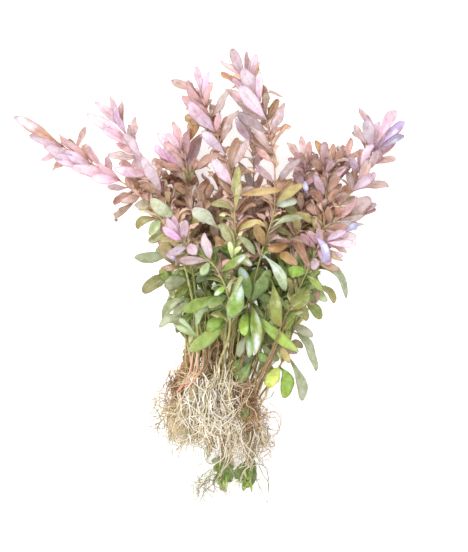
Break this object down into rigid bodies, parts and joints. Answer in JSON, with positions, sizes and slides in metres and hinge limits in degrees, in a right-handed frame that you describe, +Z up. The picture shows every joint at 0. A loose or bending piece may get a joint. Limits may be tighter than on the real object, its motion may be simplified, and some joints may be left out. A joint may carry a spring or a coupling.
{
  "type": "ludwigia inclinata aquarium plant bunch",
  "caption": "Harvested bunch of a stem aquarium plant lying flat: pink leafy crowns fan out from green lower leaves and a pale beard of roots.",
  "frame": {"origin": "the middle of the bunch's bounding box, on the surface that it lies on", "axes": "+Y the way the shoots grow, from the roots to the crowns; +Z up; +X to the right seen from above with the crowns away from the viewer"},
  "size_m": [0.2616, 0.312, 0.0753],
  "materials": {
    "pink_leaves": "satin",
    "rusty_leaves": "satin",
    "green_leaves": "satin",
    "stems": "satin",
    "roots": "matte",
    "debris": "matte",
    "clumps": "satin"
  },
  "bodies": {
    "root": {"stem_far_left": "stems", "crown_far_left": "pink_leaves", "stem_upper_left": "stems", "crown_upper_left": "pink_leaves", "stem_mid_left": "stems", "crown_mid_left": "pink_leaves", "stem_tall_middle": "stems", "crown_tall_middle": "pink_leaves", "stem_tall_right": "stems", "crown_tall_right": "pink_leaves", "stem_slim_middle": "stems", "crown_slim_middle": "pink_leaves", "stem_rosy_right": "stems", "crown_rosy_right": "pink_leaves", "stem_brown_right": "stems", "crown_brown_right": "pink_leaves", "stem_straw_right": "stems", "crown_straw_right": "pink_leaves", "stem_far_right": "stems", "crown_far_right": "pink_leaves", "stem_fan_right": "stems", "crown_fan_right": "pink_leaves", "stem_pink_right": "stems", "crown_pink_right": "pink_leaves", "stem_centre": "stems", "crown_centre": "pink_leaves", "stem_low_right": "stems", "crown_low_right": "green_leaves", "stem_low_middle": "stems", "crown_low_middle": "green_leaves", "stem_low_left": "stems", "crown_low_left": "green_leaves", "stem_under_far_left": "stems", "crown_under_far_left": "rusty_leaves", "stem_under_left": "stems", "crown_under_left": "rusty_leaves", "stem_under_middle": "stems", "crown_under_middle": "rusty_leaves", "stem_under_right": "stems", "crown_under_right": "rusty_leaves", "stem_under_inner_right": "stems", "crown_under_inner_right": "rusty_leaves", "stem_under_far_right": "stems", "crown_under_far_right": "rusty_leaves", "stem_under_low_right": "stems", "crown_under_low_right": "green_leaves", "stem_under_low_left": "stems", "crown_under_low_left": "green_leaves", "roots_left": "roots", "roots_middle": "roots", "roots_column": "roots", "roots_right": "roots", "roots_front_left": "roots", "roots_front_middle": "roots", "roots_front_right": "roots", "debris_bark": "debris", "clump_middle": "clumps", "clump_right": "clumps"}
  },
  "joints": []
}
